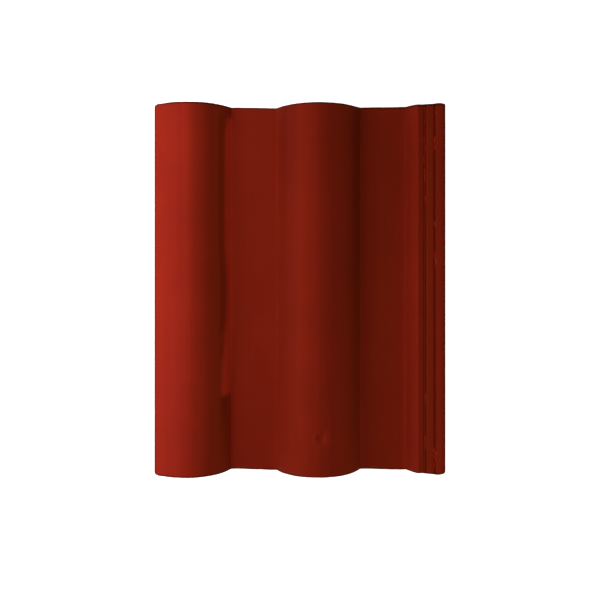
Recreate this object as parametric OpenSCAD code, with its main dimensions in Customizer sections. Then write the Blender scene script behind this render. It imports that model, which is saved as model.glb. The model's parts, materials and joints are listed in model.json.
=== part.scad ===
/* [Tile] */
// overall length, from the head edge to the foot edge
tile_l = 420; // [360:10:460]
// width that one laid tile covers, from one tile to the next
cover_w = 300; // [290:2:320]
// width of the side lap, where the lip lies over the next tile's channels
side_lap = 30; // [28:0.5:34]
// thickness of the pans and of the roll crests
wall_t = 12; // [10:0.5:14]
// rounding of the corners seen from above
corner_r = 4; // [2:0.5:6]
// rounding of the foot corner on the channel side, which is cut sharper
sharp_corner_r = 1.5; // [1:0.25:4]
// bevel along the top edges of the head and the foot
end_bevel = 1.5; // [0.75:0.25:3]

/* [Rolls] */
// width of a roll from foot to foot
roll_w = 96.5; // [92:0.5:102]
// height of a roll's crest above the pans
roll_h = 32; // [29:0.5:36]
// thickness of a roll's wall at its feet
flank_t = 8.5; // [7:0.5:10]
// rounding where a roll runs into a pan
foot_r = 4; // [2:0.5:6]
// rounding of the edges of the hollow under a roll
hollow_r = 4; // [2:0.5:6]
// slope at which the roll runs straight down to the lip
lip_slope = 25; // [22:0.5:28]
// rounding of the lip's upper edge
lip_r = 2; // [1:0.25:2.5]
// distance from the lip to the crest line of the roll that it belongs to
lip_reach = 36.5; // [35:0.5:38]

/* [Side lap] */
// width of the floor of each of the two water channels
channel_w = 3.6; // [3.4:0.1:4.2]
// width of the level top of the rib between the channels
rib_w = 4.2; // [3.6:0.2:5]
// width of the rib along the outer edge
outer_rib_w = 10.5; // [9:0.25:11]
// height of the ledge and the ribs above the floor line at their outer sides
rib_h = 5.4; // [4.6:0.2:6]
// rounding of the upper edges of the ledge and the ribs
rib_r = 1.8; // [1:0.1:2]
// slope at which the ledge falls into the inner channel
ledge_fall = 40; // [36:1:48]
// slope at which the middle rib falls into the outer channel
rib_fall = 65; // [58:1:75]
// height of the inner channel's floor above the pans
floor_h = 9; // [8:0.2:9.6]
// slope at which the channel floors step up towards the edge
lock_slope = 13; // [10:0.5:14]
// thickness under the channels
lock_t = 7.5; // [6.5:0.25:9]
// clearance all round between a lip and the channels that it lies on
lap_gap = 1.2; // [0.8:0.1:1.6]

/* [Nibs] */
// width of a hanging nib at its root
nib_w = 40; // [30:1:48]
// length of a nib's root along the tile
nib_l = 22; // [16:1:26]
// depth of a nib below the pans
nib_d = 12; // [10:0.5:16]
// distance from the head edge to the nib face that bears on the batten
nib_face = 26; // [22:0.5:30]
// draft of a nib's sides
nib_draft = 10; // [5:1:15]
// slope of a nib's back, from upright
nib_back = 30; // [20:1:35]

/* [Weather bars] */
// depth of the bars below the pans, at the foot
bar_d = 12; // [8:0.5:14]
// thickness of a bar along the tile
bar_t = 8; // [5:0.5:11]
// distance from the foot edge to the first bar
bar_edge = 5; // [3:0.5:10]
// distance from one bar to the next
bar_pitch = 30; // [22:1:40]

/* [Nail mark] */
// width of the shallow mark on the middle roll
mark_w = 12; // [8:0.5:15]
// depth of the mark
mark_d = 1; // [0.5:0.1:1.4]
// distance of the mark from the head edge
mark_y = 44; // [36:1:55]
// distance of the mark from the roll's crest line
mark_x = 4; // [0:0.5:8]

/* [Hidden] */
$fn = 96;
// how far joining arcs cross each other's line, where they would only touch
bite = 0.02;
// reach of shapes that are cut back by others
far = 80;
// how far a shape runs into or past the one that it joins or cuts
past = 1;
tile_w = cover_w + side_lap;
lip_x = -tile_w / 2;
edge_x = tile_w / 2;
roll_r = (roll_w * roll_w / 4 + roll_h * roll_h) / (2 * roll_h);
roll_z = roll_h - roll_r;
roll_pitch = cover_w / 2;
// centres of the lapping roll, the middle roll and the next tile's lapping roll
lap_roll_x = lip_x + lip_reach;
mid_roll_x = lap_roll_x + roll_pitch;
next_roll_x = lap_roll_x + cover_w;
// the hollow's radius leaves wall_t at the crest and flank_t at the feet
foot_cos = -roll_z / roll_r;
hollow_rad = roll_r - (flank_t - wall_t * foot_cos) / (1 - foot_cos);
hollow_z = roll_h - wall_t - hollow_rad;
// the side lap, counted in from the outer edge
outer_rib_x = edge_x - outer_rib_w;
rib_end = outer_rib_x - channel_w;
rib_x = rib_end - rib_h / tan(rib_fall) - rib_w;
ledge_end = rib_x - channel_w;
inner_ch_x = ledge_end + channel_w / 2;
// the outer rib's side is the tile's edge
upright = 90;
// left side of the hollow under the lapping roll, clear of the next tile
hollow_x = lip_x + side_lap + lap_gap;
// the pans' upper face above the floor that the tile lies on
pan_z = wall_t + max(nib_d, bar_d);
mark_rad = (mark_w * mark_w / 4 + mark_d * mark_d) / (2 * mark_d);
pan_1_x = (lap_roll_x + mid_roll_x) / 2;
pan_2_x = (mid_roll_x + next_roll_x) / 2;

function floor_z(x) = floor_h + (x - inner_ch_x) * tan(lock_slope);
function crest_z(x) = roll_z + sqrt(roll_r * roll_r - x * x);

// gap between a circle, a level line and the arc of radius f that joins them
module spandrel(cx, cz, r, z, f, side) {
    up = f - bite;
    fx = sqrt(pow(r + up, 2) - pow(z + up - cz, 2));
    k = r / (r + up);
    foot_x = sqrt(r * r - pow(z - cz, 2));
    translate([cx, 0])
        scale([side, 1])
            difference() {
                polygon([
                    [fx, z - bite],
                    [fx, z + up],
                    [fx * k, cz + (z + up - cz) * k],
                    [foot_x - past, z],
                    [foot_x - past, z - bite]
                ]);
                translate([fx, z + up])
                    circle(f);
            }
}

// block from x0, with a level top, rounded edges and an outer side at the slope fall
// that meets the floor line at x1, grown by c on every side
module rib(x0, x1, fall, c) {
    r = rib_r + c;
    z = floor_z(x1) + rib_h - rib_r;
    x = x1 - (rib_r + (rib_h - rib_r) * cos(fall)) / sin(fall);
    side_x = x + (r - bite) * sin(fall);
    side_z = z + (r - bite) * cos(fall);
    drop = rib_h + c;
    end_x = side_x + drop * cos(fall) / sin(fall);
    polygon([
        [x0 - c + bite, -far],
        [x0 - c + bite, z],
        [x0 + rib_r, z + r - bite],
        [x, z + r - bite],
        [side_x, side_z],
        [end_x, side_z - drop],
        [end_x, -far]
    ]);
    for (cx = [x0 + rib_r, x])
        translate([cx, z])
            circle(r);
}

// upper side of the channels and their two ribs, grown by c on every side
module channels(c) {
    rise = c / cos(lock_slope);
    low_x = ledge_end - channel_w;
    polygon([
        [low_x, -far],
        [low_x, floor_z(low_x) + rise],
        [edge_x - bite, floor_z(edge_x - bite) + rise],
        [edge_x - bite, -far]
    ]);
    rib(rib_x, rib_end, rib_fall, c);
    rib(outer_rib_x, edge_x, upright, c);
}

// ledge beside the inner channel, grown by c on every side
module ledge(c) {
    rib(mid_roll_x, ledge_end, ledge_fall, c);
}

// everything below the tile's upper surface
module under_top() {
    sx = -roll_r * sin(lip_slope);
    sz = roll_z + roll_r * cos(lip_slope) - bite;
    nose_x = lip_x + lip_r - lap_roll_x;
    nose_z = sz - (sx - nose_x) * tan(lip_slope) - (lip_r - bite) / cos(lip_slope);
    translate([lap_roll_x, -far])
        square([rib_x - lap_roll_x, far]);
    intersection() {
        translate([lap_roll_x, roll_z])
            circle(roll_r);
        translate([lap_roll_x + sx - lip_r, -far])
            square([tile_w, 2 * far]);
    }
    translate([mid_roll_x, roll_z])
        circle(roll_r);
    translate([lap_roll_x, 0]) {
        polygon([
            [nose_x - lip_r + bite, -far],
            [nose_x - lip_r + bite, nose_z],
            [nose_x - lip_r * sin(lip_slope), nose_z + (lip_r - bite) * cos(lip_slope)],
            [sx, sz],
            [sx, -far]
        ]);
        translate([nose_x, nose_z])
            circle(lip_r);
    }
    intersection() {
        translate([next_roll_x, roll_z])
            circle(roll_r);
        ledge(0);
    }
    channels(0);
    spandrel(lap_roll_x, roll_z, roll_r, 0, foot_r, 1);
    spandrel(mid_roll_x, roll_z, roll_r, 0, foot_r, 1);
    spandrel(mid_roll_x, roll_z, roll_r, 0, foot_r, -1);
    spandrel(next_roll_x, roll_z, roll_r, 0, foot_r, -1);
}

// everything below the tile's underside
module under_side() {
    translate([-tile_w, -2 * far])
        square([2 * tile_w, 2 * far - wall_t]);
    intersection() {
        translate([lap_roll_x, hollow_z])
            circle(hollow_rad);
        translate([hollow_x - bite, -far])
            square([tile_w, 2 * far]);
    }
    translate([mid_roll_x, hollow_z])
        circle(hollow_rad);
    intersection() {
        translate([next_roll_x, hollow_z])
            circle(hollow_rad);
        polygon([
            [mid_roll_x, -far],
            [mid_roll_x, floor_z(mid_roll_x) - lock_t],
            [tile_w, floor_z(tile_w) - lock_t],
            [tile_w, -far]
        ]);
    }
    spandrel(lap_roll_x, hollow_z, hollow_rad, -wall_t, hollow_r, 1);
    spandrel(mid_roll_x, hollow_z, hollow_rad, -wall_t, hollow_r, 1);
    spandrel(mid_roll_x, hollow_z, hollow_rad, -wall_t, hollow_r, -1);
    spandrel(next_roll_x, hollow_z, hollow_rad, -wall_t, hollow_r, -1);
    intersection() {
        translate([-cover_w, 0]) {
            ledge(lap_gap);
            channels(lap_gap);
        }
        translate([-tile_w, -far])
            square([tile_w + hollow_x, 2 * far]);
    }
}

// the tile's section, the same from head to foot
module section() {
    difference() {
        under_top();
        under_side();
    }
}

// a section drawn in x and z, carried along y from y0 to y1
module along(y0, y1) {
    translate([0, y1, pan_z])
        rotate([90, 0, 0])
            linear_extrude(y1 - y0)
                children();
}

// what the bevel takes off the top edge of the end at +y
module bevel() {
    y0 = tile_l / 2 - end_bevel;
    difference() {
        translate([-tile_w, y0 - past, pan_z - wall_t])
            cube([2 * tile_w, end_bevel + 2 * past, far]);
        multmatrix([[1, 0, 0, 0], [0, 1, 0, 0], [0, -1, 1, y0], [0, 0, 0, 1]])
            along(y0 - 2 * past, y0 + end_bevel + 2 * past)
                under_top();
    }
}

// what the rounding takes off the corner at the given signs of x and y
module corner(sx, sy, r) {
    scale([sx, sy, 1])
        translate([tile_w / 2 - r + bite, tile_l / 2 - r + bite, 0])
            linear_extrude(pan_z + far)
                difference() {
                    square(r + past);
                    circle(r);
                }
}

// a nib under a pan, square to the batten in front and sloping behind
module nib(x) {
    y = -tile_l / 2 + nib_face;
    root = pan_z - wall_t;
    foot = root - nib_d;
    top = root + wall_t / 2;
    back = tan(nib_back);
    side = tan(nib_draft);
    half = nib_w / 2;
    intersection() {
        translate([x - nib_w, 0, 0])
            rotate([90, 0, 90])
                linear_extrude(2 * nib_w)
                    polygon([
                        [y, top],
                        [y, foot],
                        [y - nib_l + nib_d * back, foot],
                        [y - nib_l, root],
                        [y - nib_l, top]
                    ]);
        translate([x, y, 0])
            rotate([90, 0, 0])
                linear_extrude(nib_l)
                    polygon([
                        [-half, top],
                        [-half, root],
                        [-half + nib_d * side, foot],
                        [half - nib_d * side, foot],
                        [half, root],
                        [half, top]
                    ]);
    }
}

// a bar under the foot that seats on the upper surface of the course below
module bar(y) {
    along(y - bar_t, y)
        difference() {
            intersection() {
                translate([0, -wall_t / 2])
                    under_top();
                translate([lap_roll_x, -wall_t - bar_d])
                    square([cover_w - roll_w / 2, far]);
            }
            translate([0, -wall_t - bar_d])
                under_top();
        }
}

module roof_tile() {
    foot_y = tile_l / 2;
    mark_z = pan_z + crest_z(mark_x) - mark_d + mark_rad;
    color([0.55, 0.14, 0.08])
        difference() {
            union() {
                along(-foot_y, foot_y)
                    section();
                nib(pan_1_x);
                nib(pan_2_x);
                bar(foot_y - bar_edge);
                bar(foot_y - bar_edge - bar_pitch);
            }
            bevel();
            mirror([0, 1, 0])
                bevel();
            corner(-1, -1, corner_r);
            corner(1, -1, corner_r);
            corner(-1, 1, corner_r);
            corner(1, 1, sharp_corner_r);
            translate([mid_roll_x + mark_x, -foot_y + mark_y, mark_z])
                sphere(mark_rad);
        }
}

roof_tile();
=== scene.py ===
import json

import bmesh
import bpy
import numpy as np
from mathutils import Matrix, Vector

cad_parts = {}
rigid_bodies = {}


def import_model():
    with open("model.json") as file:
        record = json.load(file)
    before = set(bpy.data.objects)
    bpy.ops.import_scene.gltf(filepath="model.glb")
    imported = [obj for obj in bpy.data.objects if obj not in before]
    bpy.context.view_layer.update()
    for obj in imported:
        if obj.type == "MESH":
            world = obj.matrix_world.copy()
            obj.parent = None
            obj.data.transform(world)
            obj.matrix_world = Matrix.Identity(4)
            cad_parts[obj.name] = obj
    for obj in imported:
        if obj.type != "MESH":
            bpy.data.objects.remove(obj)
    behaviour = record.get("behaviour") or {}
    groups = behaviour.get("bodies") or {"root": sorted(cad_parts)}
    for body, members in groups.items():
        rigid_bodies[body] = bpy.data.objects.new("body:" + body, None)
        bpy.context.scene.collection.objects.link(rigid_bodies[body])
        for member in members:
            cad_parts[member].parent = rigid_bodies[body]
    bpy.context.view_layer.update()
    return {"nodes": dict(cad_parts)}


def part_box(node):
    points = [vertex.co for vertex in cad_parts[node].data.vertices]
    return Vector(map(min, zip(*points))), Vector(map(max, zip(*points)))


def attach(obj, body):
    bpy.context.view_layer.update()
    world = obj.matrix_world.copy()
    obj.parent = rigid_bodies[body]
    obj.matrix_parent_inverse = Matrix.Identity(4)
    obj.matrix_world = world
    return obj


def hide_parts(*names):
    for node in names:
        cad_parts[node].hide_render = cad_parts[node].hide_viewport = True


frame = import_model()
print("frame loaded with", sorted(frame["nodes"]))

mm = 0.001
deep = -60.0  # a height below every face, for an arc that has ended
hair = 0.0001  # still counts as on the arc
shoulderReach = 0.99  # share of its radius at which a shoulder's arc stops
boxLow, boxHigh = (np.array(corner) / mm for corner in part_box("roof_tile"))
tileWidth, tileLength, tileHeight = boxHigh - boxLow
left, right = boxLow[0], boxHigh[0]
head, foot = boxLow[1], boxHigh[1]

# the tile's section in millimetres, with heights counted from the upper face of the pans
section = {
    "wall": 12.0,  # thickness of the pans and the crests
    "coverWidth": 300.0,  # from one laid tile to the next
    "rollWidth": 96.5,
    "rollHeight": 32.0,
    "flankWall": 8.5,  # thickness of a roll at its feet
    "footBlend": 2.5,  # height over which a roll runs into a pan
    "hollowBlend": 2.7,  # the same for the hollow underneath
    "lipReach": 36.5,  # from the lip to the crest of its roll
    "lipSlope": 20.0,  # degrees
    "lipArc": 42.2,  # radius of the bend from that slope into the roll
    "lipArcEnd": 11.7,  # degrees past the crest
    "lipEdge": 2.0,
    "ribEdge": 1.8,
    "ribSide": 84.0,  # steepness of a rib's inner side in degrees
    "channelMiddle": 142.4,  # where the height of the channels' slanting floor is counted
    "floorSlope": 13.0,  # degrees
    "floorBlend": 1.4,
    "lockWall": 7.5,  # thickness under the channels
    "lapGap": 1.2,  # clearance to the next tile's ribs
    "ledgeBlend": 1.6,
}
panHeight = tileHeight - section["rollHeight"]
rollRadius = (section["rollWidth"] ** 2 / 4 + section["rollHeight"] ** 2) / (2 * section["rollHeight"])
rollCentre = section["rollHeight"] - rollRadius
lapCrest = left + section["lipReach"]
midCrest = lapCrest + section["coverWidth"] / 2
nextCrest = lapCrest + section["coverWidth"]
footCos = -rollCentre / rollRadius
hollowRadius = rollRadius - (section["flankWall"] - section["wall"] * footCos) / (1 - footCos)
hollowCentre = section["rollHeight"] - section["wall"] - hollowRadius
hollowSide = left + (tileWidth - section["coverWidth"]) + section["lapGap"]

# side lap: the floor's height, and for each rib its two sides, its height, the steepness of its outer side
# in degrees, and the width and the drop of its round shoulder
channelForm = {
    "floor": 11.9,
    "ledge": (midCrest, 141.5, 4.0, 76.0, 6.9, 1.1),
    "rib": (143.9, 152.8, 2.3, 76.0, 3.2, 0.5),
    "outerRib": (154.4, 165.1, 2.3, 84.0, 1.8, 0.9),
}
# the same for the pockets under the lip
pocketForm = {
    "floor": 9.0,
    "ledge": (midCrest, 140.6, 5.4, 40.0, 1.8, 0.9),
    "rib": (144.2, 150.9, 5.4, 65.0, 1.8, 0.9),
    "outerRib": (154.5, 165.4, 5.4, 84.0, 1.8, 0.9),
}


# the larger of two heights, with a parabola where they come within blend of each other
def softMax(a, b, blend):
    return np.maximum(a, b) + np.maximum(blend - np.abs(a - b), 0.0) ** 2 / (4.0 * blend)


# the smaller of two heights, rounded in the same way
def softMin(a, b, blend):
    return -softMax(-a, -b, blend)


# 0 below the first value, 1 above the second, and 3t squared less 2t cubed between them
def ease(first, second, value):
    t = np.clip((value - first) / (second - first), 0.0, 1.0)
    return t * t * (3.0 - 2.0 * t)


# a circle seen as a height over x: its centre plus the root of radius squared less offset squared
def arcHeight(x, centreX, centreZ, radius):
    room = radius**2 - (x - centreX) ** 2
    return np.where(room > -hair, centreZ + np.sqrt(np.maximum(room, 0.0)), deep)


# slanting line on which the floors of the water channels lie
def floorLine(x, form):
    return form["floor"] + (x - section["channelMiddle"]) * np.tan(np.radians(section["floorSlope"]))


# a level top that ends in a round shoulder: a circle that falls by the drop over the width
def shoulderFace(x, end, width, drop, grow):
    radius = (width**2 + drop**2) / (2 * drop) + grow
    way = np.clip(x - end + width, 0.0, shoulderReach * radius)
    return np.sqrt(radius**2 - way**2) - radius


# a rib: the least of its rounded top and two straight sides, the outer of which meets the floor line at
# the rib's end
def ribFace(x, form, name, grow):
    start, end, height, fall, width, drop = form[name]
    fall, rise, blend = np.radians(fall), np.radians(section["ribSide"]), section["ribEdge"]
    base = floorLine(end, form)
    shoulderEnd = end - (height - drop) / np.tan(fall)
    top = base + height + grow + shoulderFace(x, shoulderEnd, width, drop, grow)
    outer = base + grow / np.cos(fall) - (x - end) * np.tan(fall)
    inner = base + grow / np.cos(rise) + (x - start) * np.tan(rise)
    return softMin(softMin(top, outer, blend), inner, blend)


# channel floors with the ledge and the two ribs standing on them, all grown outwards by one distance
def lockFace(x, form, grow):
    face = floorLine(x, form) + grow / np.cos(np.radians(section["floorSlope"]))
    for name in ("ledge", "rib", "outerRib"):
        face = softMax(face, ribFace(x, form, name, grow), section["floorBlend"])
    return face


# the lapping roll: a round nose, a straight slope, a bend that touches it, and the roll's own arc that
# touches the bend
def lapRoll(x):
    slope, past = np.radians(section["lipSlope"]), np.radians(section["lipArcEnd"])
    nose, bend = section["lipEdge"], section["lipArc"]
    joinX = lapCrest + rollRadius * np.sin(past)
    bendX = joinX - bend * np.sin(past)
    bendZ = rollCentre + (rollRadius - bend) * np.cos(past)
    touchX = bendX - bend * np.sin(slope)
    touchZ = bendZ + bend * np.cos(slope)
    noseX = left + nose
    noseZ = touchZ - (touchX - noseX) * np.tan(slope) - nose / np.cos(slope)
    ramp = touchZ - (touchX - x) * np.tan(slope)
    crown = arcHeight(x, lapCrest, rollCentre, rollRadius)
    roll = np.where(x < joinX, arcHeight(x, bendX, bendZ, bend), crown)
    roll = np.where(x < touchX, ramp, roll)
    return np.where(x < noseX - nose * np.sin(slope), arcHeight(x, noseX, noseZ, nose), roll)


# upper face: the highest of the pans, the two rolls, and the next roll's arc cut off by the side lap
def upperFace(x):
    nextRoll = arcHeight(x, nextCrest, rollCentre, rollRadius)
    lap = softMin(nextRoll, lockFace(x, channelForm, 0.0), section["ledgeBlend"])
    face = softMax(np.zeros_like(x), lapRoll(x), section["footBlend"])
    face = softMax(face, arcHeight(x, midCrest, rollCentre, rollRadius), section["footBlend"])
    return softMax(face, lap, section["footBlend"])


# underside: the highest of the pans' undersides, the hollows, and the neighbour's channels with their
# clearance
def underFace(x):
    blend, gap = section["hollowBlend"], section["lapGap"]
    midHollow = arcHeight(x, midCrest, hollowCentre, hollowRadius)
    face = softMax(np.full_like(x, -section["wall"]), midHollow, blend)
    lapHollow = arcHeight(x, lapCrest, hollowCentre, hollowRadius)
    face = softMax(face, np.where(x > hollowSide - 2 * gap, lapHollow, deep), blend)
    nextHollow = arcHeight(x, nextCrest, hollowCentre, hollowRadius)
    lockUnder = floorLine(x, pocketForm) - section["lockWall"]
    face = softMax(face, softMin(nextHollow, lockUnder, blend), blend)
    pocket = lockFace(x + section["coverWidth"], pocketForm, gap)
    return softMax(face, np.where(x < hollowSide, pocket, deep), section["floorBlend"])


# what is on the section, in millimetres
relief = {
    "endEdge": 1.7,  # rounding of the top edges of the head and the foot
    "lowerEdge": 0.8,  # rounding of the lower edges
    "corner": 4.0,  # rounding of the corners seen from above
    "sharpCorner": 1.5,  # the foot's corner on the channel side
    "cornerReach": 0.998,  # share of a corner's arc that is drawn, so that the columns stay apart
    "nibWidth": 40.0,
    "nibLength": 22.0,
    "nibFace": 26.0,  # from the head to the face that bears on the batten
    "nibDraft": 10.0,  # degrees
    "nibBack": 30.0,  # degrees from upright
    "nibSide": 14.0,  # steepness of the bearing face, rise over run
    "nibBlend": 1.4,
    "barThick": 8.0,
    "barEdge": 5.0,  # from the foot to the first bar
    "barPitch": 30.0,
    "barDraft": 0.9,
    "markAcross": 1.2,  # from the middle roll's crest line
    "markUp": 44.0,  # from the head
    "markRadius": 6.8,
    "markDepth": 2.2,
    "drag": 0.035,  # height of the lengthwise lines that the mould leaves
    "dragWaves": (40.0, 5.0, 60.0),  # longest and shortest pitch, and how many times longer along the tile
    "ragged": 0.12,  # fine unevenness of the cut ends
    "edgeWaves": (60.0, 4.0, 9.0),  # the same on the edges of the ends
    "endWaves": (30.0, 3.0, 1.0),  # and on their faces
    "waveCount": 9,
    "footCut": [  # across and outwards
        (-165, -0.1), (-153, 0.5), (-145, 1.1), (-130, 0.8), (-108, 1.0), (-82, 0.4),
        (-60, 0.2), (-30, -0.4), (18, 0.3), (45, 0.1), (62, -0.4), (74, 0.5),
        (105, 0.8), (122, 1.2), (134, 0.9), (147, 1.1), (159, 1.7), (165, 0.9),
    ],
    "headCut": [
        (-165, 0.3), (-157, 0.8), (-142, 0.8), (-134, 0.4), (-95, 0.3), (-72, -0.5),
        (-50, 0.2), (-30, 0.9), (-11, 0.4), (15, -0.1), (45, -0.1), (72, -0.5),
        (116, 0.5), (134, -0.2), (147, 0.3), (155, 0.6), (165, -0.3),
    ],
    "channelSpan": (131.0, 160.0),  # from the crest of the ledge to that of the outer rib
    "channelEnds": (0.31, 0.2),  # share of a channel's depth by which its head and foot stand out
    "cutReach": 30.0,  # how far from the end the uneven cut is felt
    "seed": 7,
}
nibCentres = np.array([lapCrest + midCrest, midCrest + nextCrest]) / 2
nibDepth = panHeight - section["wall"]
barCentres = foot - relief["barEdge"] - relief["barThick"] / 2 - np.array([0.0, relief["barPitch"]])
barEnd = midCrest + section["coverWidth"] / 2 - section["rollWidth"] / 2


# how far a rounded edge has dropped: radius less the root of radius squared less the way into it squared
def edgeDrop(distance, radius):
    into = np.clip(radius - distance, 0.0, radius)
    return radius - np.sqrt(radius**2 - into**2)


# value at each place of a line through given points, eased from each point to the next
def easedLine(points, x):
    at, value = np.array(points, float).T
    last = np.clip(np.searchsorted(at, x) - 1, 0, len(at) - 2)
    return value[last] + (value[last + 1] - value[last]) * ease(at[last], at[last + 1], x)


# depth of the hanging nibs: the least of a bearing face, a sloping back and two drafted sides, cut off at
# the depth that the tile rests on
def nibShape(x, y):
    faceY = head + relief["nibFace"]
    front = (faceY - y) * relief["nibSide"]
    back = (y - faceY + relief["nibLength"]) / np.tan(np.radians(relief["nibBack"]))
    across = np.min(np.abs(x - nibCentres[:, None, None]), axis=0)
    side = (relief["nibWidth"] / 2 - across) / np.tan(np.radians(relief["nibDraft"]))
    shape = softMin(softMin(front, back, relief["nibBlend"]), side, relief["nibBlend"])
    return softMax(softMin(shape, nibDepth, relief["nibBlend"]), 0.0, relief["nibBlend"])


# share of a weather bar at each place: 1 in the bar, 0 outside, eased over its draft
def barShare(x, y):
    draft = relief["barDraft"]
    away = np.min(np.abs(y - barCentres[:, None, None]), axis=0) - relief["barThick"] / 2
    inLength = ease(draft / 2, -draft / 2, away)
    return inLength * ease(lapCrest - draft, lapCrest, x) * ease(barEnd, barEnd - draft, x)


# depth of the nail mark: its depth times (1 less squared distance over squared radius) squared
def markShape(x, y):
    far = np.hypot(x - midCrest - relief["markAcross"], y - head - relief["markUp"])
    return relief["markDepth"] * (1.0 - np.minimum(far / relief["markRadius"], 1.0) ** 2) ** 2


# sum of sine waves with seeded directions and phases, between about -1 and 1
def waves(x, y, form, seed):
    longest, shortest, stretch = form
    count = relief["waveCount"]
    pick = np.random.default_rng(seed)
    pitch = np.geomspace(longest, shortest, count)
    turn = pick.uniform(-1.0, 1.0, count) / stretch
    phase = pick.uniform(0.0, 2 * np.pi, count)
    sway = 2 * np.pi / pitch * (x[..., None] + turn * y[..., None]) + phase
    return np.sin(sway).mean(axis=-1) * np.sqrt(count) / 2


# how far the ends of the channels stand out: a share of their depth below a straight line over the side lap
def channelStand(columns, y):
    span = np.array(relief["channelSpan"])
    inSpan = (columns > span[0]) & (columns < span[1])
    depth = np.maximum(np.interp(columns, span, upperFace(span)) - upperFace(columns), 0.0)
    atHead, atFoot = relief["channelEnds"]
    return np.where(y > 0, atFoot, -atHead) * np.where(inSpan, depth, 0.0)


# plan corners: the outermost columns are drawn in by the corner's arc, the root of radius squared less way
# squared
def drawCorners(x, y):
    for side, end in ((-1, -1), (1, -1), (-1, 1), (1, 1)):
        radius = relief["sharpCorner"] if (side, end) == (1, 1) else relief["corner"]
        way = np.clip(end * y - (tileLength / 2 - radius), 0.0, radius) * relief["cornerReach"]
        over = np.clip(side * x - (tileWidth / 2 - radius), 0.0, None)
        x = x - side * over * (1.0 - np.sqrt(radius**2 - way**2) / radius)
    return x


# how many columns and rows the mesh has, and how they are spread
meshSize = {
    "columns": 268,
    "markColumns": 15,  # more of them over the nail mark
    "rows": 150,
    "layers": 6,  # points from the underside to the upper face
    "fineStep": 0.02,  # millimetres between the trial places
    "plainColumns": 0.3,  # share of the columns that is spread evenly
    "plainRows": 0.42,
    "markWeight": 3,  # how much more the nail mark's turns count for the rows
    "sharpAngle": 50.0,  # degrees
}


# places along a line, spread evenly by a weight made of plain length and of how much each curve turns there
def crowdedPlaces(fine, curves, count, plainShare):
    turns = [np.abs(np.gradient(np.arctan(np.gradient(curve, fine)))) for curve in curves]
    weight = np.sum([turn / turn.sum() for turn in turns], axis=0) / len(turns)
    weight = plainShare / len(fine) + (1.0 - plainShare) * weight
    run = np.concatenate([[0.0], np.cumsum((weight[1:] + weight[:-1]) / 2)])
    return np.interp(np.linspace(0.0, run[-1], count), run, fine)


# columns across the tile, crowded where its faces turn and over the nail mark
def tileColumns():
    fineX = np.arange(left, right, meshSize["fineStep"])
    curves = [upperFace(fineX), underFace(fineX)]
    columns = crowdedPlaces(fineX, curves, meshSize["columns"], meshSize["plainColumns"])
    columns[[0, -1]] = left, right
    overMark = relief["markRadius"] * np.linspace(-1.0, 1.0, meshSize["markColumns"])
    return np.sort(np.concatenate([columns, midCrest + relief["markAcross"] + overMark]))


# rows along the tile, crowded at the nibs, the weather bars, the nail mark and the ends
def tileRows():
    fineY = np.arange(head, foot, meshSize["fineStep"])
    toEnd = np.minimum(fineY - head, foot - fineY)
    nibLine = nibShape(np.array([[nibCentres[0]]]), fineY[None, :])[0]
    barLine = nibDepth * barShare(np.array([[midCrest]]), fineY[None, :])[0]
    markLine = meshSize["markWeight"] * markShape(np.array(midCrest + relief["markAcross"]), fineY)
    endLine = edgeDrop(toEnd, relief["endEdge"])
    cornerLine = edgeDrop(toEnd, relief["corner"])
    curves = [nibLine, barLine, markLine, endLine, cornerLine]
    rows = crowdedPlaces(fineY, curves, meshSize["rows"], meshSize["plainRows"])
    rows[[0, -1]] = head, foot
    return rows


# the tile's upper and lower sheets: the section's heights with the relief on them, drawn out at uneven ends
def tileSheets(columns, rows):
    x, y = np.meshgrid(columns, rows)
    upper, under = upperFace(columns), underFace(columns)
    toEnd = np.minimum(y - head, foot - y)
    toSide = np.minimum(x - left, right - x)
    topZ = upper - edgeDrop(toEnd, relief["endEdge"]) - markShape(x, y)
    topZ = topZ + relief["drag"] * waves(x, y, relief["dragWaves"], relief["seed"])
    share = barShare(x, y)
    lowZ = under * (1.0 - share) + (upper - panHeight) * share - nibShape(x, y)
    lowZ = lowZ + edgeDrop(toEnd, relief["lowerEdge"]) + edgeDrop(toSide, relief["lowerEdge"])
    lowZ = np.maximum(lowZ, -panHeight)
    felt = ease(relief["cutReach"], 0.0, toEnd)
    cut = np.where(y > 0, easedLine(relief["footCut"], x), -easedLine(relief["headCut"], x))
    rag = relief["ragged"] * (1.0 + waves(x, y, relief["edgeWaves"], relief["seed"] + 1))
    atY = y + cut * felt - rag * ease(relief["endEdge"], 0.0, toEnd) * np.sign(y)
    atX = drawCorners(x, y)
    top = np.stack([atX, atY + channelStand(columns, y) * felt, topZ], axis=-1)
    low = np.stack([atX, atY, lowZ], axis=-1)
    return top, low


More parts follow.
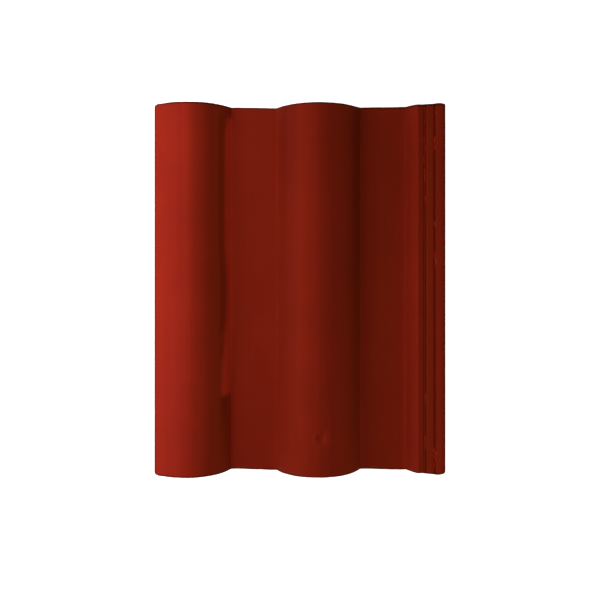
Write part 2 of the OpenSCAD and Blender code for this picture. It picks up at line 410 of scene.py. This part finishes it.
# one closed skin: upper face, right side, underside and left side carried along the rows, and on each end a
# grid of the same columns from the underside to the upper face; returns also the numbers of the points on
# the upper face and the underside
def closeSkin(top, low):
    rowCount, columnCount = top.shape[:2]
    layers = meshSize["layers"]
    step = np.linspace(0.0, 1.0, layers)[1:-1]
    leftWall = low[:, :1] + (top[:, :1] - low[:, :1]) * step[None, :, None]
    rightWall = top[:, -1:] + (low[:, -1:] - top[:, -1:]) * step[None, :, None]
    skin = np.concatenate([top, rightWall, low[:, ::-1], leftWall], axis=1)
    numbers = np.arange(skin[..., 0].size).reshape(skin.shape[:2])
    turned = np.roll(numbers, -1, 1)
    quads = np.stack([numbers[:-1], turned[:-1], turned[1:], numbers[1:]], axis=-1)
    points, faces = [skin.reshape(-1, 3)], [quads.reshape(-1, 4)]
    parts = np.cumsum([columnCount, layers - 2, columnCount])
    onTop, onRight, onLow, onLeft = np.split(numbers, parts, axis=1)
    count = numbers.size
    for row, flip in ((0, 1), (rowCount - 1, -1)):
        lowRow, topRow = low[row, 1:-1], top[row, 1:-1]
        inner = lowRow + (topRow - lowRow) * step[:, None, None]
        rough = waves(inner[..., 0], inner[..., 2], relief["endWaves"], relief["seed"] + 2 + row)
        inner[..., 1] += relief["ragged"] * rough
        cap = np.empty((layers, columnCount), int)
        cap[-1], cap[0] = onTop[row], onLow[row, ::-1]
        cap[1:-1, 0], cap[1:-1, -1] = onLeft[row], onRight[row, ::-1]
        cap[1:-1, 1:-1] = count + np.arange(rough.size).reshape(rough.shape)
        count += rough.size
        points.append(inner.reshape(-1, 3))
        grid = np.stack([cap[:-1, :-1], cap[:-1, 1:], cap[1:, 1:], cap[1:, :-1]], axis=-1)
        faces.append(grid.reshape(-1, 4)[:, ::flip])
    return np.concatenate(points), np.concatenate(faces), onTop, onLow


# the coat's painted light and shade, and a lighter streak: bands, strokes and darker edges, with places in
# millimetres and tones as shares of the coat's colour; bands, edges and most strokes are painted light and
# shade that the lamps don't give
coatMarksAndPaintedLight = {
    "bands": {  # long soft bands of painted light and shade, and lighter along the slope up to the ledge: middle, half width, softness, tone at the head and at the foot, share of the browner hue
        "lapping roll's left side": (-146.0, 22.0, 6.0, (1.02, 1.08), 0.0),
        "slope above the lip": (-158.0, 6.0, 4.0, (1.1, 1.04), 0.0),
        "lapping roll's crest": (-126.0, 6.0, 4.0, (1.03, 1.18), 0.05),
        "lapping roll's right flank": (-102.0, 5.0, 4.0, (0.91, 0.85), 0.22),
        "lapping roll's right foot": (-91.0, 8.0, 5.0, (0.97, 0.97), 0.52),
        "left pan": (-53.0, 19.0, 6.0, (0.93, 1.0), 0.14),
        "middle roll's left foot": (-20.5, 5.0, 2.5, (1.0, 0.87), 0.12),
        "middle roll's left flank": (-13.5, 9.0, 6.0, (0.94, 0.77), 0.12),
        "middle roll's crest": (12.5, 5.0, 4.0, (0.93, 1.02), 0.14),
        "middle roll's right flank": (30.0, 10.0, 3.0, (0.89, 0.92), 0.22),
        "middle roll's shaded side": (54.0, 11.0, 7.0, (1.0, 1.0), 0.45),
        "line above its right foot": (62.2, 3.6, 1.4, (0.95, 0.81), 0.6),
        "middle roll's right foot": (68.0, 4.0, 4.0, (1.02, 0.82), 0.6),
        "right pan": (94.0, 20.0, 8.0, (0.95, 0.95), 0.31),
        "slope up to the ledge": (127.4, 7.4, 0.8, (1.21, 1.1), 0.14),
        "water channels": (147.0, 10.0, 3.0, (1.0, 1.0), 0.42),
        "inner channel's floor": (142.3, 1.3, 1.2, (1.34, 1.34), 0.3),
        "outer rib": (158.0, 5.0, 4.0, (1.13, 1.13), 0.22),
    },
    "strokes": {  # painted shade and light, and a lighter streak: edges as (along, across), softness, tones at the first and the last point, share of the browner hue
        # a lighter streak on the coat, its tone graded across to even out the shade at the roll's foot:
        # partly painted light
        "light streak at the lapping roll's right foot": {
            "left": [
                (-122, -89.6), (-96, -88.9), (-62, -86.6), (-27, -84.1),
                (10, -84.0), (60, -85.8), (175, -85.8), (197, -84.0),
            ],
            "right": [(-122, -80.5), (-40, -79.2), (197, -79.8)],
            "soft": 2.5,
            "tone": (1.98, 2.38),
            "browningAndShade": 0.14,
        },
        # painted shade in the crease at the lapping roll's foot
        "painted shade line beside it": {
            "left": [(-50, -91.5), (-27, -90.3), (10, -90.3), (60, -92.0), (200, -92.0)],
            "right": [(-50, -88.6), (-27, -87.6), (10, -87.6), (60, -89.6), (200, -89.6)],
            "soft": 1.3,
            "tone": (0.78, 0.8),
            "browningAndShade": 0.66,
        },
        # painted shade at the foot of the lapping roll, below the streak
        "painted shade below it": {
            "left": [(-165, -90.6), (-122, -90.6)],
            "right": [(-165, -84.0), (-122, -84.0)],
            "soft": 2.6,
            "tone": (0.9, 0.74),
            "browningAndShade": 0.66,
        },
        # painted light on the lit wall of the nail mark
        "painted light on the nail mark's lit side": {
            "left": [(-172.5, 26.9), (-158, 26.9)],
            "right": [(-172.5, 32.9), (-158, 32.9)],
            "soft": 2.5,
            "tone": (1.2, 1.2),
            "browningAndShade": 0.2,
        },
        # painted light beside the shaded wall of the nail mark
        "painted light at the nail mark's shaded side": {
            "left": [(-172, 13.5), (-160, 13.5)],
            "right": [(-172, 18.5), (-160, 18.5)],
            "soft": 2.0,
            "tone": (1.1, 1.1),
            "browningAndShade": 0.2,
        },
    },
    "edges": {  # painted shade along the rounded edges: width and tone
        "two ends": (3.0, 0.42),
        "lip": (2.8, 0.6),
        "outer rib": (3.2, 0.33),
    },
    # share of the browner hue all over the coat
    "plainBrowning": 0.14,
    # browner hue under the painted shade along the edges
    "edgeShadeBrowning": 0.45,
    "wallCover": 5.0,  # how far the coat runs down the sides and the ends
}


# share of a stroke, 1 between its two edge lines and 0 outside, eased over its softness, with round ends;
# and its tone, in proportion to the way from its first point to its last
def strokeParts(x, y, stroke):
    low, high = easedLine(stroke["left"], y), easedLine(stroke["right"], y)
    half = (high - low) / 2
    start, end = stroke["left"][0][0], stroke["left"][-1][0]
    past = np.maximum(np.maximum(y - end + half, start + half - y), 0.0)
    away = np.hypot(x - (low + high) / 2, past) - half
    atStart, atEnd = stroke["tone"]
    level = atStart + (atEnd - atStart) * np.clip((y - start) / (end - start), 0.0, 1.0)
    return ease(stroke["soft"], -stroke["soft"], away), level


# painted light and shade on the coat at each place, as a tone and a share of the browner hue: bands, strokes
# and the painted shade along the edges, laid one over another, each by its share
def coatToneAndPaintedLight(x, y):
    layers = []
    for place, wide, soft, (atHead, atFoot), browningAndShade in coatMarksAndPaintedLight["bands"].values():
        level = atHead + (atFoot - atHead) * (y - head) / tileLength
        layers.append((ease(wide + soft, wide - soft, np.abs(x - place)), level, browningAndShade))
    for stroke in coatMarksAndPaintedLight["strokes"].values():
        layers.append((*strokeParts(x, y, stroke), stroke["browningAndShade"]))
    inside = {"two ends": np.minimum(y - head, foot - y), "lip": x - left, "outer rib": right - x}
    for name, (wide, level) in coatMarksAndPaintedLight["edges"].items():
        layers.append((ease(wide, 0.0, inside[name]), level, coatMarksAndPaintedLight["edgeShadeBrowning"]))
    tone, brown = np.ones_like(x), np.full_like(x, coatMarksAndPaintedLight["plainBrowning"])
    for share, level, browningAndShade in layers:
        tone = tone * (1.0 + (level - 1.0) * share)
        brown = brown + (browningAndShade - brown) * share
    return tone, brown


# how far the coat covers: whole on the upper face, running out down the sides and the ends, none underneath
def coatCover(points, onTop, onLow):
    surface = upperFace(np.clip(points[:, 0], left, right)) + panHeight
    cover = ease(coatMarksAndPaintedLight["wallCover"], 0.0, surface - points[:, 2] - section["ribEdge"])
    cover[onTop] = 1.0
    cover[onLow] = 0.0
    return cover


# the tile's points in metres, its faces, and the coat's values at each point: its cover, and the tone and
# browner hue that carry painted light and shade
def buildTile():
    points, faces, onTop, onLow = closeSkin(*tileSheets(tileColumns(), tileRows()))
    points[:, 2] += panHeight
    tone, brown = coatToneAndPaintedLight(points[:, 0], points[:, 1])
    return points * mm, faces, {"coat": coatCover(points, onTop, onLow), "tone": tone, "brown": brown}


# puts arrays of points, faces and values for each point into a new object with smooth shading
def addMesh(name, points, faces, values, sharpAngle):
    mesh = bpy.data.meshes.new(name)
    mesh.from_pydata(points.tolist(), [], faces.tolist())
    for key, value in values.items():
        layer = mesh.attributes.new(key, "FLOAT", "POINT")
        layer.data.foreach_set("value", value.astype(np.float32))
    mesh.validate()
    mesh.shade_smooth()
    mesh.set_sharp_from_angle(angle=np.radians(sharpAngle))
    mesh.update()
    piece = bpy.data.objects.new(name, mesh)
    bpy.context.scene.collection.objects.link(piece)
    return piece


tilePiece = addMesh("tile_body", *buildTile(), meshSize["sharpAngle"])
print("tile body:", len(tilePiece.data.polygons), "faces")

# threads of coat that ran together in the two water channels: x and y of each one's points in millimetres
threads = {
    "inner": [
        [(141.6, 208.0), (141.8, 206.0)],
        [(142.7, 192.6), (142.9, 190.6)],
        [(141.6, 173.0), (141.7, 169.5)],
        [(143.1, 164.0), (142.8, 162.0), (144.2, 158.6)],
        [(140.9, 150.6), (141.5, 147.5), (142.3, 145.0)],
        [(142.0, 138.2), (141.8, 135.0), (142.0, 132.4)],
        [(142.2, 131.4), (142.6, 127.0), (142.8, 122.8)],
        [(142.7, 105.8), (143.7, 102.8), (142.8, 98.7)],
        [(143.0, -119.2), (143.2, -125.0), (144.0, -130.0)],
        [(142.8, -166.2), (143.0, -174.0), (142.9, -183.5)],
    ],
    "outer": [
        [(154.2, 202.2), (154.4, 200.0)],
        [(154.2, 175.2), (152.8, 168.6), (153.4, 163.4), (154.2, 157.6)],
        [(152.8, 78.5), (153.6, 74.0), (154.6, 70.4)],
        [(154.6, 44.3), (152.8, 40.3), (153.5, 36.6), (154.6, 33.6), (154.1, 26.7)],
        [(152.1, -180.2), (152.8, -187.2), (154.2, -192.3), (154.4, -195.3)],
        [(153.5, -184.2), (154.4, -186.4), (155.3, -184.6)],
        [(153.0, -196.8), (152.8, -203.7)],
    ],
    "wide": 1.7,
    "tall": 1.5,
    "tipPower": 6,  # the higher, the blunter the tips
    "steps": 28,
    "sides": 10,
    "softenings": 3,  # how often the corners of a line are softened
    "weld": 0.00001,  # metres within which points are one
    "sharpAngle": 80.0,  # degrees
}


# places in even steps along a line through a few given points
def alongLine(line, at):
    knots = np.linspace(0.0, 1.0, len(line))
    x, y = np.array(line).T
    return np.stack([np.interp(at, knots, x), np.interp(at, knots, y)], axis=-1)


# each thread is an oval carried along its line, thinning to a point at both ends as the root of 1 less t to
# the tips' power, with t from -1 to 1 along it
def buildThreads():
    at = np.linspace(0.0, 1.0, threads["steps"])
    path = np.array([alongLine(line, at) for line in threads["inner"] + threads["outer"]])
    for softening in range(threads["softenings"]):
        path[:, 1:-1] = (path[:, :-2] + 2 * path[:, 1:-1] + path[:, 2:]) / 4
    way = np.gradient(path, axis=1)
    way /= np.linalg.norm(way, axis=-1, keepdims=True)
    thin = np.sqrt(1.0 - (2 * at - 1.0) ** threads["tipPower"])[None, :, None]
    around = np.linspace(0.0, 2 * np.pi, threads["sides"], endpoint=False)
    across = threads["wide"] / 2 * thin * np.cos(around)
    up = threads["tall"] / 2 * thin * np.sin(around)
    x = path[..., 0, None] - way[..., 1, None] * across
    y = path[..., 1, None] + way[..., 0, None] * across
    z = upperFace(path[..., 0])[..., None] + up + panHeight
    numbers = np.arange(x.size).reshape(x.shape)
    turned = np.roll(numbers, -1, 2)
    quads = np.stack([numbers[:, :-1], numbers[:, 1:], turned[:, 1:], turned[:, :-1]], axis=-1)
    return np.stack([x, y, z], axis=-1).reshape(-1, 3) * mm, quads.reshape(-1, 4), {}


# merges the points that fall together at the threads' tips, and turns the faces outwards
def closeTips(piece):
    work = bmesh.new()
    work.from_mesh(piece.data)
    bmesh.ops.remove_doubles(work, verts=work.verts, dist=threads["weld"])
    bmesh.ops.recalc_face_normals(work, faces=work.faces)
    work.to_mesh(piece.data)
    work.free()


threadPiece = addMesh("coat_threads", *buildThreads(), threads["sharpAngle"])
closeTips(threadPiece)
print("coat threads:", len(threadPiece.data.polygons), "faces")

# colours are linear red, green and blue; noises are scale, detail and roughness
coatLook = {
    "coat": (0.2, 0.0112, 0.0048, 1.0),
    "coatDark": (0.18, 0.0101, 0.0043, 1.0),
    # browner hue: a little on all of the coat, and strongly where shade is painted
    "brownedAndShade": (0.2, 0.022, 0.0026, 1.0),
    # threads much brighter than the coat, so they stand out in the shaded channels: painted highlight
    "threadGlint": (0.85, 0.05, 0.017, 1.0),
    "bare": (0.16, 0.058, 0.038, 1.0),
    "bareDark": (0.085, 0.034, 0.025, 1.0),
    "coatRough": 0.55,
    "bareRough": 0.92,
    "gloss": 0.015,
    "grain": (1300.0, 3.0, 0.5),
    "lines": (420.0, 2.0, 0.5),
    "lineStretch": 0.02,  # scale of the lines along the tile
    "cloud": (16.0, 3.0, 0.5),
    "grit": (420.0, 5.0, 0.7),
    "threadCloud": (240.0, 2.0, 0.5),
    "cloudShare": 0.7,  # of the coat's patchiness, with the lines for the rest
    "patchEdges": (0.35, 0.65),
    "gritWear": 0.5,  # how far the grit breaks up the line where the coat ends
    "coatEdges": (0.4, 0.6),
    "grainShare": 0.35,  # of the coat's relief, with the lines for the rest
    "bareRelief": 3.0,  # height of the bare concrete's grit, as a multiple of the coat's relief
    "bumpStrength": 0.35,
    "bumpHeight": 0.00012,  # metres
}
noiseMiddle = 0.5  # about what a noise is on average


# a material's nodes, made and linked by short calls
class Nodes:
    def __init__(self, name):
        self.material = bpy.data.materials.new(name)
        self.material.use_nodes = True
        self.tree = self.material.node_tree
        self.shader = self.tree.nodes["Principled BSDF"]

    # adds a node; its inputs are given by name, or by number as i0, i1 and so on
    def add(self, kind, out=0, settings=None, **inputs):
        node = self.tree.nodes.new("ShaderNode" + kind)
        for key, value in (settings or {}).items():
            setattr(node, key, value)
        for key, value in inputs.items():
            byNumber = key[0] == "i" and key[1:].isdigit()
            self.put(node.inputs[int(key[1:]) if byNumber else key], value)
        return node.outputs[out]

    # links another node's output to a socket, or sets a plain value on it
    def put(self, socket, value):
        if isinstance(value, bpy.types.NodeSocket):
            self.tree.links.new(value, socket)
        else:
            socket.default_value = value

    # the same for a socket of the shader itself
    def shade(self, name, value):
        self.put(self.shader.inputs[name], value)

    def math(self, operation, first, second):
        return self.add("Math", settings={"operation": operation}, i0=first, i1=second)

    # a share of one value and the rest of another
    def weigh(self, share, first, second):
        rest = self.math("MULTIPLY", second, 1.0 - share)
        return self.math("ADD", self.math("MULTIPLY", first, share), rest)

    def mix(self, factor, first, second):
        return self.add("Mix", 2, {"data_type": "RGBA"}, i0=factor, i6=first, i7=second)

    def noise(self, place, scale, detail, rough):
        return self.add("TexNoise", Vector=place, Scale=scale, Detail=detail, Roughness=rough)

    # 0 below the low value, 1 above the high one, and smooth between them
    def steps(self, value, low, high):
        return self.add("MapRange", settings={"interpolation_type": "SMOOTHSTEP"}, i0=value, i1=low, i2=high)

    # a value that the mesh keeps at each point
    def kept(self, name):
        return self.add("Attribute", 2, {"attribute_name": name})


# red coat over through-coloured concrete: fine grain, faint lengthwise lines, and bare concrete where the
# coat ends; the coat's colour also carries painted light and shade, as its tone and a browner hue
def coatedConcrete():
    made = Nodes("coated_concrete")
    place = made.add("TexCoord", "Object")
    drawn = made.add("Mapping", Vector=place, Scale=(1.0, coatLook["lineStretch"], 1.0))
    grain = made.noise(place, *coatLook["grain"])
    lines = made.noise(drawn, *coatLook["lines"])
    cloud = made.noise(place, *coatLook["cloud"])
    grit = made.noise(place, *coatLook["grit"])
    wear = made.math("MULTIPLY", made.math("SUBTRACT", grit, noiseMiddle), coatLook["gritWear"])
    coated = made.steps(made.math("ADD", made.kept("coat"), wear), *coatLook["coatEdges"])
    patchy = made.steps(made.weigh(coatLook["cloudShare"], cloud, lines), *coatLook["patchEdges"])
    red = made.mix(patchy, coatLook["coatDark"], coatLook["coat"])
    # painted light and shade: the browner hue by its share, then the tone that lightens or darkens the coat
    brownedAndShade = made.mix(made.kept("brown"), red, coatLook["brownedAndShade"])
    colourWithPaintedLight = made.add("VectorMath", settings={"operation": "SCALE"}, i0=brownedAndShade, Scale=made.kept("tone"))
    bare = made.mix(made.steps(grit, *coatLook["patchEdges"]), coatLook["bareDark"], coatLook["bare"])
    made.shade("Base Color", made.mix(coated, bare, colourWithPaintedLight))
    rough = made.add("MapRange", i0=coated, i3=coatLook["bareRough"], i4=coatLook["coatRough"])
    made.shade("Roughness", rough)
    made.shade("Specular IOR Level", coatLook["gloss"])
    fine = made.weigh(coatLook["grainShare"], grain, lines)
    coarse = made.math("MULTIPLY", grit, coatLook["bareRelief"])
    height = made.add("MapRange", i0=coated, i3=coarse, i4=fine)
    strength, distance = coatLook["bumpStrength"], coatLook["bumpHeight"]
    made.shade("Normal", made.add("Bump", Strength=strength, Distance=distance, Height=height))
    return made.material


# the same coat where it has run together in threads, with a colour far brighter than the coat's: a painted
# highlight that makes them stand out in the shaded channels
def coatThreadGlint():
    made = Nodes("coat_thread_glint")
    cloud = made.noise(made.add("TexCoord", "Object"), *coatLook["threadCloud"])
    made.shade("Base Color", made.mix(cloud, coatLook["coat"], coatLook["threadGlint"]))
    made.shade("Roughness", coatLook["coatRough"])
    made.shade("Specular IOR Level", coatLook["gloss"])
    return made.material


tilePiece.data.materials.append(coatedConcrete())
threadPiece.data.materials.append(coatThreadGlint())
for piece in (tilePiece, threadPiece):
    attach(piece, "root")
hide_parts("roof_tile")
print("materials and rides set")

# floor, world and lamps, in metres and watts
stage = {
    "floorSize": 4.0,
    "floorColour": (0.8, 0.8, 0.8, 1.0),
    "floorRough": 1.0,
    "floorGloss": 0.0,
    "glowColour": (1.0, 1.0, 1.0, 1.0),
    "floorGlow": 0.9,  # what the camera sees of the floor besides its lit colour
    "skyColour": (1.0, 1.0, 1.0, 1.0),
    "skySeen": 1.0,  # white to the camera
    "skyLight": 0.048,
    "lamps": {  # place, aim, width, height, power
        "leftHeadLamp": ((-0.30, -0.20, 0.10), (-0.08, -0.10, 0.04), 0.30, 0.45, 0.97),
        "leftLamp": ((-0.26, 0.00, 0.10), (-0.03, 0.00, 0.03), 0.30, 0.45, 0.59),
        "leftFootLamp": ((-0.26, 0.23, 0.10), (-0.03, 0.00, 0.03), 0.30, 0.45, 1.13),
        "footLamp": ((0.00, 0.60, 1.00), (-0.03, 0.00, 0.03), 0.40, 0.40, 2.04),
        "headLamp": ((0.30, -0.50, 0.80), (-0.05, 0.00, 0.03), 0.50, 0.50, 3.0),
    },
}


# 1 for rays from the camera, from a mirror or through glass, and 0 for light that falls on something
def seenRays(tree):
    path = tree.nodes.new("ShaderNodeLightPath")
    seen = path.outputs["Is Camera Ray"]
    for kind in ("Is Glossy Ray", "Is Transmission Ray"):
        larger = tree.nodes.new("ShaderNodeMath")
        larger.operation = "MAXIMUM"
        tree.links.new(seen, larger.inputs[0])
        tree.links.new(path.outputs[kind], larger.inputs[1])
        seen = larger.outputs[0]
    return seen


# floor that takes the tile's shadow, lifted to white for the camera, and clear when it is seen from below
def makeFloor():
    half = stage["floorSize"] / 2
    corners = np.array([(-half, -half, 0.0), (half, -half, 0.0), (half, half, 0.0), (-half, half, 0.0)])
    floor = addMesh("floor", corners, np.array([[0, 1, 2, 3]]), {}, meshSize["sharpAngle"])
    made = Nodes("floor_paper")
    made.shade("Base Color", stage["floorColour"])
    made.shade("Roughness", stage["floorRough"])
    made.shade("Specular IOR Level", stage["floorGloss"])
    made.shade("Emission Color", stage["glowColour"])
    made.shade("Emission Strength", made.math("MULTIPLY", seenRays(made.tree), stage["floorGlow"]))
    behind = made.add("NewGeometry", "Backfacing")
    clear = made.add("BsdfTransparent")
    both = made.add("MixShader", i0=behind, i1=made.shader.outputs[0], i2=clear)
    made.put(made.tree.nodes["Material Output"].inputs["Surface"], both)
    floor.data.materials.append(made.material)


# world: a low even light, white to the camera and to what mirrors or lets through
def makeSky():
    world = bpy.data.worlds.new("studio")
    bpy.context.scene.world = world
    world.use_nodes = True
    tree = world.node_tree
    ground = tree.nodes["Background"]
    ground.inputs["Color"].default_value = stage["skyColour"]
    level = tree.nodes.new("ShaderNodeMapRange")
    level.inputs["To Min"].default_value = stage["skyLight"]
    level.inputs["To Max"].default_value = stage["skySeen"]
    tree.links.new(seenRays(tree), level.inputs["Value"])
    tree.links.new(level.outputs[0], ground.inputs["Strength"])


# a soft lamp: a rectangle at a place, turned towards its aim, not seen by the camera or mirrored in the coat
def makeLamp(name, place, aim, width, height, power):
    data = bpy.data.lights.new(name, "AREA")
    data.shape = "RECTANGLE"
    data.size, data.size_y, data.energy = width, height, power
    lamp = bpy.data.objects.new(name, data)
    lamp.location = place
    lamp.rotation_mode = "QUATERNION"
    lamp.rotation_quaternion = (Vector(aim) - Vector(place)).to_track_quat("-Z", "Y")
    lamp.visible_camera = False
    lamp.visible_glossy = False
    bpy.context.scene.collection.objects.link(lamp)


makeFloor()
makeSky()
for name, values in stage["lamps"].items():
    makeLamp(name, *values)
print("floor, world and", len(stage["lamps"]), "lamps set")

# the camera looks straight down, and its frame is moved because the middle of the view isn't over the
# tile's middle
view = {
    "overPan": 836.0,  # millimetres above the pans
    "along": 44.5,  # millimetres from the tile's middle towards the foot
    "focal": 43.26,  # millimetres, as the sensor
    "sensor": 36.0,
    "frameShift": -0.083,  # share of the frame
}
cameraData = bpy.data.cameras.new("camera")
cameraData.lens = view["focal"]
cameraData.sensor_width = view["sensor"]
cameraData.shift_y = view["frameShift"]
camera = bpy.data.objects.new("camera", cameraData)
camera.location = (0.0, view["along"] * mm, (panHeight + view["overPan"]) * mm)
bpy.context.scene.collection.objects.link(camera)
bpy.context.scene.camera = camera
bpy.context.scene.view_settings.view_transform = "Standard"
print("stage ready")
